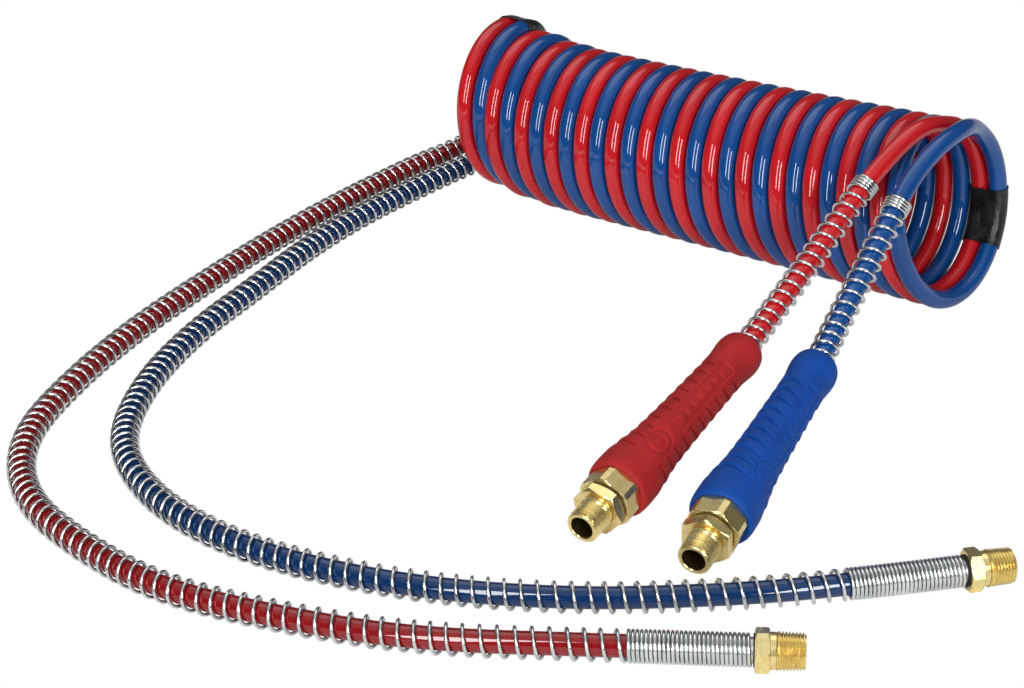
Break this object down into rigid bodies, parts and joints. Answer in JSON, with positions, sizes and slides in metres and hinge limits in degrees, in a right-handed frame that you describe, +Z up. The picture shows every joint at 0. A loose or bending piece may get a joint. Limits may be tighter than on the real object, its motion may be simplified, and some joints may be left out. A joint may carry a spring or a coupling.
{
  "type": "coiled air hose",
  "caption": "Red and blue air hoses wound into one coil, with spring-guarded leads, rubber grips and brass pipe-thread ends.",
  "frame": {"origin": "on the floor, under the middle of the coil", "axes": "+X along the coil from the long leads to the short leads, +Z up"},
  "size_m": [0.691, 0.6821, 0.1427],
  "materials": {
    "red_nylon": "glossy extruded nylon tube, red",
    "blue_nylon": "glossy extruded nylon tube, blue",
    "spring_steel": "bright zinc-plated round spring wire",
    "zinc_steel": "zinc-plated pressed steel",
    "brass": "machined yellow brass, satin faces and bright threads",
    "black_rubber": "black nitrile rubber",
    "red_rubber": "matte moulded rubber, red",
    "blue_rubber": "matte moulded rubber, royal blue",
    "shrink_band": "black heat-shrink band, satin"
  },
  "bodies": {
    "root": {"coil_turns": "red_nylon", "left_wrap": "shrink_band", "right_wrap": "shrink_band", "red_long_lead": "red_nylon", "red_long_spring": "spring_steel", "red_end_fitting": "brass", "red_end_sleeve": "zinc_steel", "red_end_washer": "black_rubber", "red_short_lead": "red_nylon", "red_short_spring": "spring_steel", "red_grip": "red_rubber", "red_swivel_body": "brass", "red_retaining_clip": "spring_steel", "red_tube_insert": "brass", "red_ferrule": "brass", "red_compression_nut": "brass", "blue_long_lead": "blue_nylon", "blue_long_spring": "spring_steel", "blue_end_fitting": "brass", "blue_end_sleeve": "zinc_steel", "blue_end_washer": "black_rubber", "blue_short_lead": "blue_nylon", "blue_short_spring": "spring_steel", "blue_grip": "blue_rubber", "blue_swivel_body": "brass", "blue_retaining_clip": "spring_steel", "blue_tube_insert": "brass", "blue_ferrule": "brass", "blue_compression_nut": "brass"},
    "red_swivel": {"red_swivel_nipple": "brass", "red_swivel_o_ring": "black_rubber"},
    "blue_swivel": {"blue_swivel_nipple": "brass", "blue_swivel_o_ring": "black_rubber"}
  },
  "joints": [
    {"name": "red_swivel_turn", "type": "hinge", "parent": "root", "child": "red_swivel", "pos_m": [0.1788, -0.3887, 0.0209], "axis": [0.0737, -0.9871, -0.1419], "continuous": true},
    {"name": "blue_swivel_turn", "type": "hinge", "parent": "root", "child": "blue_swivel", "pos_m": [0.2477, -0.3827, 0.0209], "axis": [0.1763, -0.973, -0.1487], "continuous": true}
  ]
}
